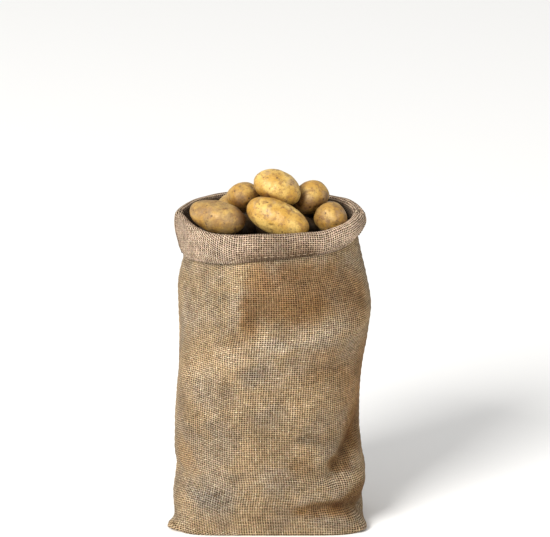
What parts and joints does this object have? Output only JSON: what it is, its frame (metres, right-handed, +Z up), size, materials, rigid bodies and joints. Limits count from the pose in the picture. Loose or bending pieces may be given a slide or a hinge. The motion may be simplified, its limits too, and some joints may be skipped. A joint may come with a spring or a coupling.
{
  "type": "hessian sack filled with potatoes",
  "caption": "Upright hessian sack with its mouth turned outward into a cuff, full of potatoes that heap above the rim.",
  "frame": {"origin": "on the floor under the middle of the foot", "axes": "+Z up through the mouth, -Y towards the front panel, side seams along X"},
  "size_m": [0.293, 0.2341, 0.528],
  "materials": {
    "hessian": "coarse open plain weave of jute, matt",
    "potato_skin": "washed yellow skin with eyes and specks, soft sheen"
  },
  "bodies": {
    "root": {"sack": "hessian", "filling": "potato_skin", "potato_01": "potato_skin", "potato_02": "potato_skin", "potato_03": "potato_skin", "potato_04": "potato_skin", "potato_05": "potato_skin", "potato_06": "potato_skin", "potato_07": "potato_skin", "potato_08": "potato_skin", "potato_09": "potato_skin", "potato_10": "potato_skin", "potato_11": "potato_skin"}
  },
  "joints": []
}
